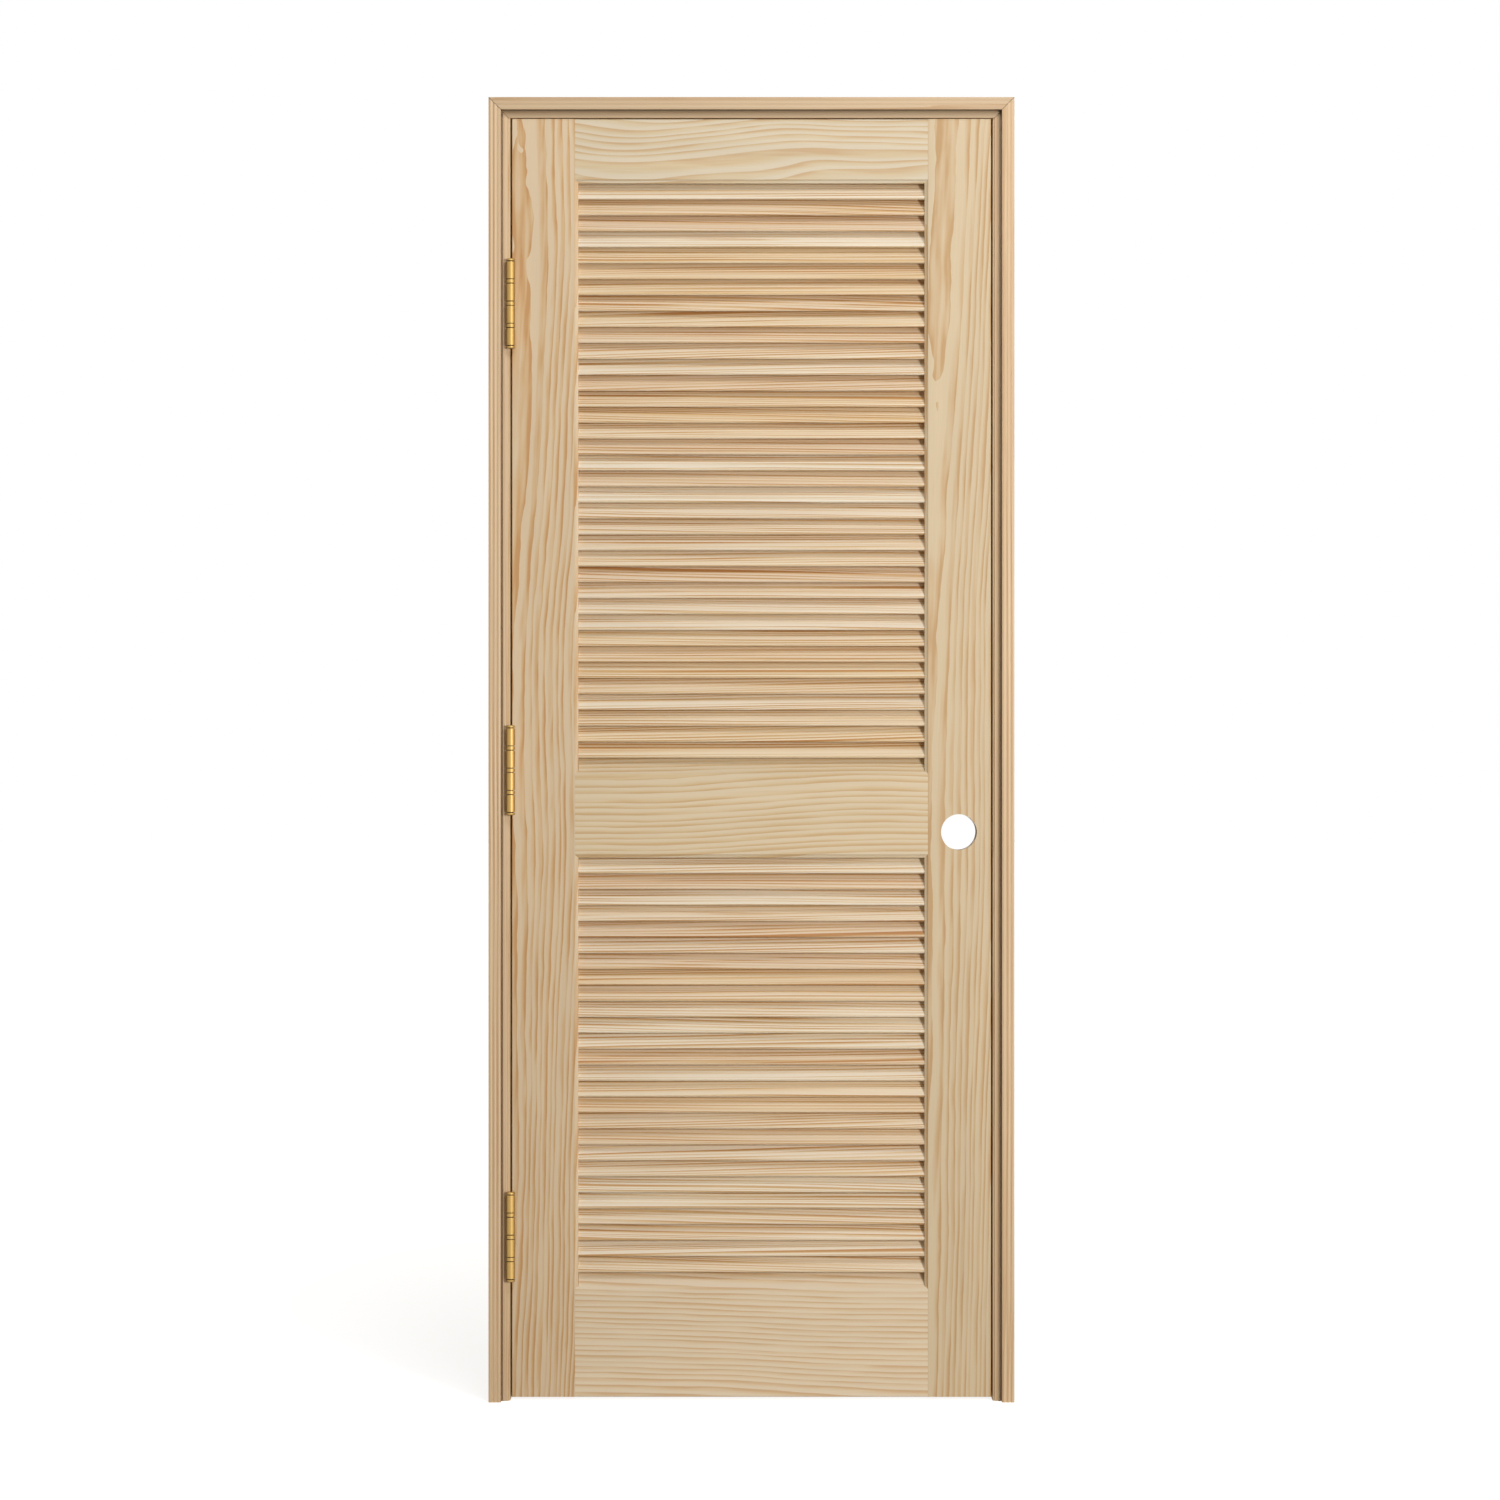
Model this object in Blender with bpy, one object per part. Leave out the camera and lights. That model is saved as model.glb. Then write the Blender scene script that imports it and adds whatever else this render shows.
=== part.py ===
"""Pre-hung louvred door: a pine slab with two banks of fixed louvres, hung on three brass butt
hinges in a pine jamb with stops and a narrow reeded casing.

Metres, +Z up. The front faces -Y, +X is to the right as seen from the front, and the origin is
on the floor, midway across the unit's width and depth.
"""

from math import cos, pi, radians, sin, tan

import bmesh
import bpy
from mathutils import Matrix, Vector

# Door slab
DOOR_WIDTH = 0.762
DOOR_HEIGHT = 2.032
DOOR_THICKNESS = 0.035
UNDERCUT = 0.006
EDGE_EASE = 0.0012

# Stiles over their moulded edge, and rails on their front face
STILE_WIDTH = 0.1055
TOP_RAIL_WIDTH = 0.1016
LOCK_RAIL_WIDTH = 0.13335
LOCK_RAIL_HEIGHT = 0.85725
BOTTOM_RAIL_WIDTH = 0.17145
RAIL_BEVEL_DEPTH = 0.026
STICKING_WIDTH = 0.0055
STICKING_DEPTH = 0.0034
STICKING_BREAK_WIDTH = 0.0035
STICKING_BREAK_DEPTH = 0.0021
TENON_LENGTH = 0.020
TENON_THICKNESS = 0.012
TENON_SHOULDER = 0.018

# Louvres
UPPER_LOUVRES = 36
LOWER_LOUVRES = 26
LOUVRE_WIDTH = 0.038
LOUVRE_THICKNESS = 0.0064
LOUVRE_SLOPE = radians(50)
LOUVRE_HOUSING = 0.006

# Lock preparation
BORE_DIAMETER = 0.057
BORE_BACKSET = 0.051
BORE_HEIGHT = 0.898
LATCH_BORE_DIAMETER = 0.0254
FACEPLATE_WIDTH = 0.0254
FACEPLATE_HEIGHT = 0.057
FACEPLATE_DEPTH = 0.003
STRIKE_WIDTH = 0.028
STRIKE_HEIGHT = 0.057
STRIKE_DEPTH = 0.002
STRIKE_HOLE_DIAMETER = 0.022
PLATE_CORNER = 0.00635

# Gaps round the door, and the fit between pieces that meet
SIDE_GAP = 0.0025
HEAD_GAP = 0.0015
STOP_GAP = 0.0013
FIT = 0.0003

# Jambs and stops
JAMB_THICKNESS = 0.0175
JAMB_DEPTH = 0.116
JAMB_HORN = 0.010
DADO_DEPTH = 0.008
STOP_THICKNESS = 0.011
STOP_WIDTH = 0.032
STOP_ROUND = 0.005

# Casing: a cove that runs down to a thin lip, a narrow quirk and a strip of shallow reeds
CASING_THICKNESS = 0.014
CASING_BEYOND_LEAF = 0.0006
COVE_WIDTH = 0.0086
COVE_THICKNESS = 0.0055
LIP_THICKNESS = 0.0018
QUIRK_WIDTH = 0.0024
STRIP_WIDTH = 0.0195
REEDS = 3
REED_DEPTH = 0.0007

# Hinges
HINGE_BELOW_TOP = 0.295
HINGE_ABOVE_BOTTOM = 0.256
KNUCKLE_HEIGHT = 0.0284
RING_HEIGHT = 0.0068
TIP_HEIGHT = 0.0038
BARREL_RADIUS = 0.00725
BARREL_STANDOFF = 0.00125
PIN_RADIUS = 0.0034
BARREL_GROOVE = 0.0006
LEAF_THICKNESS = 0.0024
LEAF_DEPTH = 0.030
LEAF_CORNER = 0.00635
SCREW_HOLE_RADIUS = 0.0024
SCREW_HEAD_RADIUS = 0.0044
SCREW_EDGE = 0.009

# Facets on round shapes
BORE_FACETS = 48
LATCH_FACETS = 24
BARREL_FACETS = 18
SCREW_FACETS = 8
ROUND_EDGE_FACETS = 4
CORNER_FACETS = 4
COVE_FACETS = 8
REED_FACETS = 6

# A tool that cuts through a face runs this far past it
OVERRUN = 0.002

# Places that follow from the sizes. Depths are measured back from the face of the door
DOOR_LEFT = -DOOR_WIDTH / 2
DOOR_RIGHT = DOOR_WIDTH / 2
DOOR_BOTTOM = UNDERCUT
DOOR_TOP = UNDERCUT + DOOR_HEIGHT
SIGHT_LEFT = DOOR_LEFT + STILE_WIDTH
SIGHT_RIGHT = DOOR_RIGHT - STILE_WIDTH
LOWER_OPENING = (DOOR_BOTTOM + BOTTOM_RAIL_WIDTH, DOOR_BOTTOM + LOCK_RAIL_HEIGHT)
UPPER_OPENING = (LOWER_OPENING[1] + LOCK_RAIL_WIDTH, DOOR_TOP - TOP_RAIL_WIDTH)
MID_DEPTH = DOOR_THICKNESS / 2
JAMB_LEFT = DOOR_LEFT - SIDE_GAP
JAMB_RIGHT = DOOR_RIGHT + SIDE_GAP
HEAD_UNDERSIDE = DOOR_TOP + HEAD_GAP
CASING_SETBACK = LEAF_THICKNESS + CASING_BEYOND_LEAF
STRIP_START = COVE_WIDTH + QUIRK_WIDTH
CASING_WIDTH = STRIP_START + STRIP_WIDTH
PIN_X = DOOR_LEFT - SIDE_GAP / 2
PIN_OFFSET = BARREL_RADIUS + BARREL_STANDOFF
LEAF_HEIGHT = 4 * KNUCKLE_HEIGHT + 3 * RING_HEIGHT
HINGE_TOP = DOOR_TOP - HINGE_BELOW_TOP
HINGE_BOTTOM = DOOR_BOTTOM + HINGE_ABOVE_BOTTOM
HINGE_HEIGHTS = {
    "top": HINGE_TOP,
    "middle": (HINGE_TOP + HINGE_BOTTOM) / 2,
    "bottom": HINGE_BOTTOM,
}
BORE_X = DOOR_RIGHT - BORE_BACKSET
BORE_Z = DOOR_BOTTOM + BORE_HEIGHT
FACE_Y = (PIN_OFFSET + BARREL_RADIUS - JAMB_DEPTH) / 2

# The moulded edge, as (inset from the edge, depth from the face), and the plain eased edge
STICKING = (
    (STICKING_WIDTH, 0.0),
    (STICKING_BREAK_WIDTH, STICKING_BREAK_DEPTH),
    (0.0, STICKING_DEPTH),
)
EASED = ((EDGE_EASE, 0.0), (0.0, EDGE_EASE))


for leftover in list(bpy.data.objects):
    bpy.data.objects.remove(leftover)


# Materials

def linear(hex_colour):
    """An sRGB hex colour as the linear RGBA that a shader takes."""
    channels = [int(hex_colour[i:i + 2], 16) / 255 for i in (1, 3, 5)]
    return [c / 12.92 if c <= 0.04045 else ((c + 0.055) / 1.055) ** 2.4 for c in channels] + [1.0]


def material(name, hex_colour, roughness, metallic=0.0):
    made = bpy.data.materials.new(name)
    made.use_nodes = True
    shader = made.node_tree.nodes["Principled BSDF"]
    shader.inputs["Base Color"].default_value = linear(hex_colour)
    shader.inputs["Roughness"].default_value = roughness
    shader.inputs["Metallic"].default_value = metallic
    return made


STILE_PINE = material("stile_pine", "#D1B48F", 0.6)
RAIL_PINE = material("rail_pine", "#DCC6A2", 0.6)
LOUVRE_PINE = material("louvre_pine", "#D6BC95", 0.6)
JAMB_PINE = material("jamb_pine", "#D3B793", 0.6)
CASING_PINE = material("casing_pine", "#D6BA95", 0.55)
BRASS = material("polished_brass", "#D9AF5C", 0.2, metallic=1.0)


# Objects and the empties that carry them

unit = bpy.data.objects.new("door_unit", None)
unit.location = (0.0, FACE_Y, 0.0)
bpy.context.collection.objects.link(unit)

swing = bpy.data.objects.new("door_swing_axis", None)
swing.location = (PIN_X, -PIN_OFFSET, 0.0)
swing.parent = unit
bpy.context.collection.objects.link(swing)


def add_object(name, mesh, coat, place=(0.0, 0.0, 0.0), swings=False):
    """Adds a mesh to the scene at a place in the unit, on the frame or on the swinging door."""
    obj = bpy.data.objects.new(name, mesh)
    bpy.context.collection.objects.link(obj)
    obj.parent = swing if swings else unit
    obj.location = Vector(place) - swing.location if swings else Vector(place)
    mesh.materials.clear()
    mesh.materials.append(coat)
    return obj


def to_mesh(name, shape):
    """Closes a bmesh into a mesh whose faces point out, with only its sharp edges left hard."""
    bmesh.ops.recalc_face_normals(shape, faces=shape.faces)
    mesh = bpy.data.meshes.new(name)
    shape.to_mesh(mesh)
    shape.free()
    mesh.shade_smooth()
    mesh.set_sharp_from_angle(angle=radians(30))
    return mesh


def add_tool(name, shape):
    """Adds a shape that only cuts, fills or bounds another piece."""
    tool = add_object(name, to_mesh(name, shape), RAIL_PINE)
    tool.hide_render = True
    tool.display_type = "WIRE"
    return tool


def combine(target, operation, tool):
    boolean = target.modifiers.new(operation.lower() + "_" + tool.name, "BOOLEAN")
    boolean.operation = operation
    boolean.object = tool


# Shapes

def sweep(shape, outline, move):
    """Adds a capped solid between an outline and the points that `move` takes it to."""
    start = shape.faces.new([shape.verts.new(point) for point in outline])
    swept = bmesh.ops.extrude_face_region(shape, geom=[start])
    for item in swept["geom"]:
        if isinstance(item, bmesh.types.BMVert):
            item.co = move(item.co)


def along_x(shape, outline, left, right):
    """Adds a bar whose outline is (depth, height) points."""
    sweep(shape, [(left, y, z) for y, z in outline], lambda p: p + Vector((right - left, 0, 0)))


def along_z(shape, outline, bottom, top):
    """Adds a post whose outline is (x, depth) points."""
    sweep(shape, [(x, y, bottom) for x, y in outline], lambda p: p + Vector((0, 0, top - bottom)))


def box(shape, low, high):
    outline = [(low[1], low[2]), (high[1], low[2]), (high[1], high[2]), (low[1], high[2])]
    along_x(shape, outline, low[0], high[0])


def turn(shape, profile, facets, place):
    """Adds a solid of revolution from (radius, height) points, set by a matrix."""
    points = [shape.verts.new((radius, 0.0, height)) for radius, height in profile]
    on_axis = profile[0][0] == 0.0
    pairs = list(zip(points, points[1:])) + ([] if on_axis else [(points[-1], points[0])])
    rim = [shape.edges.new(pair) for pair in pairs]
    before = set(shape.verts) - set(points)
    bmesh.ops.spin(
        shape, geom=points + rim, axis=(0, 0, 1), cent=(0, 0, 0),
        angle=2 * pi, steps=facets, use_merge=True,
    )
    made = [vert for vert in shape.verts if vert not in before]
    bmesh.ops.remove_doubles(shape, verts=made, dist=1e-6)
    made = [vert for vert in shape.verts if vert not in before]
    bmesh.ops.transform(shape, matrix=place, verts=made)


def cylinder(shape, radius, start, end, facets):
    """Adds a cylinder between two points."""
    way = Vector(end) - Vector(start)
    place = Matrix.Translation(start) @ way.to_track_quat("Z", "Y").to_matrix().to_4x4()
    profile = [(0.0, way.length), (radius, way.length), (radius, 0.0), (0.0, 0.0)]
    turn(shape, profile, facets, place)


def arc(centre, radius, start, end, facets):
    steps = [start + (end - start) * i / facets for i in range(facets + 1)]
    return [(centre[0] + radius * cos(a), centre[1] + radius * sin(a)) for a in steps]


def edged_section(low, high, low_edge, high_edge, thickness):
    """Section of a board from `low` to `high` across it, as (across, depth) points."""
    front = [(low + inset, depth) for inset, depth in low_edge]
    back = [(low + inset, thickness - depth) for inset, depth in reversed(low_edge)]
    back += [(high - inset, thickness - depth) for inset, depth in high_edge]
    return front + back + [(high - inset, depth) for inset, depth in reversed(high_edge)]


def rounded_plate(front, back, half_height, corner, both_ends=False):
    """Plate outline as (depth, height) points, round at its back corners or at all four."""
    high = half_height - corner
    points = arc((back - corner, -high), corner, -pi / 2, 0, CORNER_FACETS)
    points += arc((back - corner, high), corner, 0, pi / 2, CORNER_FACETS)
    if not both_ends:
        return points + [(front, half_height), (front, -half_height)]
    points += arc((front + corner, high), corner, pi / 2, pi, CORNER_FACETS)
    return points + arc((front + corner, -high), corner, pi, 1.5 * pi, CORNER_FACETS)


def raised(outline, height):
    return [(y, z + height) for y, z in outline]


# Louvres: flat slats with round edges, sloping down to the front, housed in both stiles. The
# edge of the rail over a panel and the rail under it keep the same pitch

SLAT_CORE = LOUVRE_WIDTH - LOUVRE_THICKNESS
SLAT_HEIGHT = SLAT_CORE * sin(LOUVRE_SLOPE) + LOUVRE_THICKNESS
SLAT_LEFT = SIGHT_LEFT - LOUVRE_HOUSING + FIT
SLAT_RIGHT = SIGHT_RIGHT + LOUVRE_HOUSING - FIT


def slat_heights(opening, count):
    """Heights of the slats' middles, from the top of an opening down."""
    bottom, top = opening
    pitch = (top - bottom) / (count + 1)
    return [top - (i + 1) * pitch + SLAT_HEIGHT / 2 for i in range(count)]


def slat_section(grow=0.0):
    """Section of a slat, or of the housing that takes it, as (depth, height) points."""
    half = SLAT_CORE / 2
    radius = LOUVRE_THICKNESS / 2 + grow
    across = (half * cos(LOUVRE_SLOPE), half * sin(LOUVRE_SLOPE))
    quarter = pi / 2
    back = arc(across, radius, LOUVRE_SLOPE - quarter, LOUVRE_SLOPE + quarter, ROUND_EDGE_FACETS)
    return back + [(-y, -z) for y, z in back]


def add_slats(shape, opening, count, left, right, grow=0.0):
    """Adds every slat of a panel, or the housings that take them, to one shape."""
    section = [(MID_DEPTH + y, z) for y, z in slat_section(grow)]
    for height in slat_heights(opening, count):
        along_x(shape, raised(section, height), left, right)


slat = bmesh.new()
along_x(slat, slat_section(), SLAT_LEFT, SLAT_RIGHT)
slat_mesh = to_mesh("louvre", slat)
for number, slat_height in enumerate(slat_heights(UPPER_OPENING, UPPER_LOUVRES), start=1):
    place = (0.0, MID_DEPTH, slat_height)
    add_object(f"upper_louvre_{number:02d}", slat_mesh, LOUVRE_PINE, place, swings=True)


# Rails: bevelled like the louvres where they face a panel, coped over the stiles' moulding and
# tenoned into the stiles. The back is the front turned upside down

TENON_DEPTHS = (MID_DEPTH - TENON_THICKNESS / 2, MID_DEPTH + TENON_THICKNESS / 2)
BEVEL_RISE = RAIL_BEVEL_DEPTH * tan(LOUVRE_SLOPE)
RAILS = {
    "top_rail": (UPPER_OPENING[1], DOOR_TOP),
    "lock_rail": (LOWER_OPENING[1], UPPER_OPENING[0]),
    "bottom_rail": (DOOR_BOTTOM, LOWER_OPENING[0]),
}


def rail_section(low, high):
    """Section of a rail as (depth, height) points, eased at the door's own top and bottom."""
    if low == DOOR_BOTTOM:
        under = [(depth, low + inset) for inset, depth in EASED]
        under += [(DOOR_THICKNESS - depth, low + inset) for inset, depth in reversed(EASED)]
    else:
        under = [(depth, low + inset) for inset, depth in STICKING]
        under += [(DOOR_THICKNESS - RAIL_BEVEL_DEPTH, low), (DOOR_THICKNESS, low + BEVEL_RISE)]
    if high == DOOR_TOP:
        over = [(DOOR_THICKNESS - depth, high - inset) for inset, depth in EASED]
        over += [(depth, high - inset) for inset, depth in reversed(EASED)]
    else:
        crest = high + BEVEL_RISE
        over = [(DOOR_THICKNESS - depth, crest - inset) for inset, depth in STICKING]
        over += [(RAIL_BEVEL_DEPTH, crest), (0.0, high)]
    return under + over


cope_edge = [(-STICKING_WIDTH, -OVERRUN)] + [(-inset, depth) for inset, depth in STICKING]
coped_space = bmesh.new()
along_z(
    coped_space,
    edged_section(SIGHT_LEFT + FIT, SIGHT_RIGHT - FIT, cope_edge, cope_edge, DOOR_THICKNESS),
    DOOR_BOTTOM - OVERRUN,
    DOOR_TOP + OVERRUN,
)
between_stiles = add_tool("between_stiles", coped_space)

for rail_name, (low, high) in RAILS.items():
    bar = bmesh.new()
    along_x(bar, rail_section(low, high), DOOR_LEFT, DOOR_RIGHT)
    rail = add_object(rail_name, to_mesh(rail_name, bar), RAIL_PINE, swings=True)
    combine(rail, "INTERSECT", between_stiles)
    tenon = bmesh.new()
    box(
        tenon,
        (SIGHT_LEFT - TENON_LENGTH, TENON_DEPTHS[0], low + TENON_SHOULDER),
        (SIGHT_RIGHT + TENON_LENGTH, TENON_DEPTHS[1], high - TENON_SHOULDER),
    )
    combine(rail, "UNION", add_tool(rail_name + "_tenon", tenon))


# Stiles: full-height posts, moulded on the inner edge, mortised for the rails' tenons and
# housed for the louvres

mortises = bmesh.new()
for low, high in RAILS.values():
    box(
        mortises,
        (SIGHT_LEFT - TENON_LENGTH - FIT, TENON_DEPTHS[0] - FIT, low + TENON_SHOULDER - FIT),
        (SIGHT_RIGHT + TENON_LENGTH + FIT, TENON_DEPTHS[1] + FIT, high - TENON_SHOULDER + FIT),
    )
rail_mortises = add_tool("rail_mortises", mortises)

housings = bmesh.new()
add_slats(
    housings, UPPER_OPENING, UPPER_LOUVRES,
    SIGHT_LEFT - LOUVRE_HOUSING, SIGHT_RIGHT + LOUVRE_HOUSING, FIT,
)
upper_housings = add_tool("upper_housings", housings)

housings = bmesh.new()
add_slats(
    housings, LOWER_OPENING, LOWER_LOUVRES, SIGHT_RIGHT - OVERRUN, SIGHT_RIGHT + LOUVRE_HOUSING, FIT
)
lower_housings = add_tool("lower_housings", housings)


def stile(name, low, high, low_edge, high_edge):
    post = bmesh.new()
    section = edged_section(low, high, low_edge, high_edge, DOOR_THICKNESS)
    along_z(post, section, DOOR_BOTTOM, DOOR_TOP)
    made = add_object(name, to_mesh(name, post), STILE_PINE, swings=True)
    combine(made, "DIFFERENCE", rail_mortises)
    combine(made, "DIFFERENCE", upper_housings)
    return made


hinge_stile = stile("hinge_stile", DOOR_LEFT, SIGHT_LEFT, EASED, STICKING)
lock_stile = stile("lock_stile", SIGHT_RIGHT, DOOR_RIGHT, STICKING, EASED)
combine(lock_stile, "DIFFERENCE", lower_housings)

# The lower louvres are one piece with the hinge stile, and free in the lock stile's housings
slats = bmesh.new()
add_slats(slats, LOWER_OPENING, LOWER_LOUVRES, SIGHT_LEFT - LOUVRE_HOUSING, SLAT_RIGHT)
combine(hinge_stile, "UNION", add_tool("lower_louvres", slats))


# Lock preparation: a cross bore, a latch bore from the edge and a shallow faceplate mortise

cross_bore = bmesh.new()
cylinder(
    cross_bore,
    BORE_DIAMETER / 2,
    (BORE_X, -OVERRUN, BORE_Z),
    (BORE_X, DOOR_THICKNESS + OVERRUN, BORE_Z),
    BORE_FACETS,
)
combine(lock_stile, "DIFFERENCE", add_tool("cross_bore", cross_bore))

latch_bore = bmesh.new()
cylinder(
    latch_bore,
    LATCH_BORE_DIAMETER / 2,
    (BORE_X, MID_DEPTH, BORE_Z),
    (DOOR_RIGHT + OVERRUN, MID_DEPTH, BORE_Z),
    LATCH_FACETS,
)
combine(lock_stile, "DIFFERENCE", add_tool("latch_bore", latch_bore))


def plate_mortise(name, width, height, left, right):
    outline = rounded_plate(
        MID_DEPTH - width / 2, MID_DEPTH + width / 2, height / 2, PLATE_CORNER, both_ends=True
    )
    mortise = bmesh.new()
    along_x(mortise, raised(outline, BORE_Z), left, right)
    return add_tool(name, mortise)


faceplate_mortise = plate_mortise(
    "faceplate_mortise", FACEPLATE_WIDTH, FACEPLATE_HEIGHT,
    DOOR_RIGHT - FACEPLATE_DEPTH, DOOR_RIGHT + OVERRUN,
)
combine(lock_stile, "DIFFERENCE", faceplate_mortise)


# Jambs: side jambs run past the head, which is housed in them

HEAD_TOP = HEAD_UNDERSIDE + JAMB_THICKNESS
JAMB_TOP = HEAD_TOP + JAMB_HORN


def side_jamb(name, low, high):
    post = bmesh.new()
    along_z(post, edged_section(low, high, EASED, EASED, JAMB_DEPTH), 0.0, JAMB_TOP)
    return add_object(name, to_mesh(name, post), JAMB_PINE)


hinge_jamb = side_jamb("hinge_jamb", JAMB_LEFT - JAMB_THICKNESS, JAMB_LEFT)
strike_jamb = side_jamb("strike_jamb", JAMB_RIGHT, JAMB_RIGHT + JAMB_THICKNESS)

dado = bmesh.new()
box(
    dado,
    (JAMB_LEFT - DADO_DEPTH, -OVERRUN, HEAD_UNDERSIDE - FIT),
    (JAMB_RIGHT + DADO_DEPTH, JAMB_DEPTH + OVERRUN, HEAD_TOP + FIT),
)
head_dado = add_tool("head_dado", dado)
combine(hinge_jamb, "DIFFERENCE", head_dado)
combine(strike_jamb, "DIFFERENCE", head_dado)

bar = bmesh.new()
head_section = edged_section(HEAD_UNDERSIDE, HEAD_TOP, EASED, EASED, JAMB_DEPTH)
along_x(
    bar, [(y, z) for z, y in head_section],
    JAMB_LEFT - DADO_DEPTH + FIT, JAMB_RIGHT + DADO_DEPTH - FIT,
)
add_object("head_jamb", to_mesh("head_jamb", bar), JAMB_PINE)

strike_mortise = plate_mortise(
    "strike_mortise", STRIKE_WIDTH, STRIKE_HEIGHT, JAMB_RIGHT - OVERRUN, JAMB_RIGHT + STRIKE_DEPTH
)
combine(strike_jamb, "DIFFERENCE", strike_mortise)

strike_hole = bmesh.new()
cylinder(
    strike_hole,
    STRIKE_HOLE_DIAMETER / 2,
    (JAMB_RIGHT - OVERRUN, MID_DEPTH, BORE_Z),
    (JAMB_RIGHT + JAMB_THICKNESS + OVERRUN, MID_DEPTH, BORE_Z),
    LATCH_FACETS,
)
combine(strike_jamb, "DIFFERENCE", add_tool("strike_hole", strike_hole))


# Stops: strips on the jambs that the door closes against, with a round back corner

STOP_FRONT = DOOR_THICKNESS + STOP_GAP
STOP_BACK = STOP_FRONT + STOP_WIDTH
HEAD_STOP_BOTTOM = HEAD_UNDERSIDE - FIT - STOP_THICKNESS


def stop_section(seat, inward):
    """Section of a stop seated at `seat`, as (across, depth) points."""
    face = seat + inward * STOP_THICKNESS
    back = STOP_BACK - STOP_ROUND
    corner = arc((face - inward * STOP_ROUND, back), STOP_ROUND, 0, pi / 2, CORNER_FACETS)
    if inward < 0:
        corner = [(2 * (face + STOP_ROUND) - across, depth) for across, depth in corner]
    return [(seat, STOP_FRONT), (face, STOP_FRONT)] + corner + [(seat, STOP_BACK)]


def side_stop(name, seat, inward):
    post = bmesh.new()
    along_z(post, stop_section(seat, inward), 0.0, HEAD_STOP_BOTTOM - FIT)
    add_object(name, to_mesh(name, post), JAMB_PINE)


side_stop("hinge_stop", JAMB_LEFT + FIT, 1)
side_stop("strike_stop", JAMB_RIGHT - FIT, -1)

bar = bmesh.new()
head_stop_section = stop_section(HEAD_UNDERSIDE - FIT, -1)
along_x(bar, [(y, z) for z, y in head_stop_section], JAMB_LEFT + FIT, JAMB_RIGHT - FIT)
add_object("head_stop", to_mesh("head_stop", bar), JAMB_PINE)


# Casing: one moulding on the front edge of the jambs, mitred at the top corners

CASING_LEFT = JAMB_LEFT - CASING_SETBACK
CASING_RIGHT = JAMB_RIGHT + CASING_SETBACK
MITRE_FIT = FIT * 2 ** 0.5


def casing_section():
    """Section as (out from the inner edge, forward from the back) points."""
    shoulder = CASING_THICKNESS - REED_DEPTH
    points = [(0.0, 0.0)]
    for i in range(COVE_FACETS + 1):
        angle = pi / 2 * i / COVE_FACETS
        rise = (COVE_THICKNESS - LIP_THICKNESS) * (1 - cos(angle))
        points.append((COVE_WIDTH * sin(angle), LIP_THICKNESS + rise))
    points += [(COVE_WIDTH, LIP_THICKNESS), (STRIP_START, LIP_THICKNESS)]
    points.append((STRIP_START, shoulder))
    steps = REEDS * REED_FACETS
    for i in range(1, steps + 1):
        swell = (1 - cos(2 * pi * i / REED_FACETS)) / 2
        points.append((STRIP_START + STRIP_WIDTH * i / steps, shoulder + REED_DEPTH * swell))
    return points + [(CASING_WIDTH, 0.0)]


def side_casing(name, inner, outward):
    post = bmesh.new()
    outline = [(inner + outward * out, -FIT - forward, 0.0) for out, forward in casing_section()]
    sweep(
        post,
        outline,
        lambda p: Vector((p.x, p.y, HEAD_UNDERSIDE + outward * (p.x - inner) - MITRE_FIT)),
    )
    add_object(name, to_mesh(name, post), CASING_PINE)


side_casing("hinge_side_casing", CASING_LEFT, -1)
side_casing("strike_side_casing", CASING_RIGHT, 1)

bar = bmesh.new()
head_outline = [
    (CASING_LEFT - out, -FIT - forward, HEAD_UNDERSIDE + out) for out, forward in casing_section()
]
sweep(bar, head_outline, lambda p: Vector((-p.x, p.y, p.z)))
add_object("head_casing", to_mesh("head_casing", bar), CASING_PINE)


# Hinges: butt hinges with four knuckles and a bearing ring between each pair. The jamb leaf has
# the first and third knuckles with the rings, and the door leaf the second and fourth

BARREL_TOP = LEAF_HEIGHT / 2
FIRST_JOINT = BARREL_TOP - KNUCKLE_HEIGHT - RING_HEIGHT
SECOND_JOINT = FIRST_JOINT - KNUCKLE_HEIGHT
THIRD_JOINT = SECOND_JOINT - KNUCKLE_HEIGHT - 2 * RING_HEIGHT
BARREL_BOTTOM = THIRD_JOINT - KNUCKLE_HEIGHT
JAMB_KNUCKLES = (
    (FIRST_JOINT, BARREL_TOP, [FIRST_JOINT + RING_HEIGHT]),
    (THIRD_JOINT, SECOND_JOINT, [THIRD_JOINT + RING_HEIGHT, SECOND_JOINT - RING_HEIGHT]),
)
DOOR_KNUCKLES = ((SECOND_JOINT, FIRST_JOINT, []), (BARREL_BOTTOM, THIRD_JOINT, []))
BARREL_BORE = PIN_RADIUS + FIT
SCREW_HEIGHTS = (-0.38, -0.14, 0.14, 0.38)


def knuckle(shape, low, high, grooves):
    """Adds one knuckle with its bearing rings, which shallow grooves set off."""
    low = low + FIT / 2
    high = high - FIT / 2
    rim = BARREL_RADIUS - BARREL_GROOVE
    profile = [(BARREL_BORE, high), (rim, high), (BARREL_RADIUS, high - BARREL_GROOVE)]
    for height in sorted(grooves, reverse=True):
        profile += [
            (BARREL_RADIUS, height + BARREL_GROOVE),
            (rim, height),
            (BARREL_RADIUS, height - BARREL_GROOVE),
        ]
    profile += [(BARREL_RADIUS, low + BARREL_GROOVE), (rim, low), (BARREL_BORE, low)]
    turn(shape, profile, BARREL_FACETS, Matrix.Identity(4))


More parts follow.
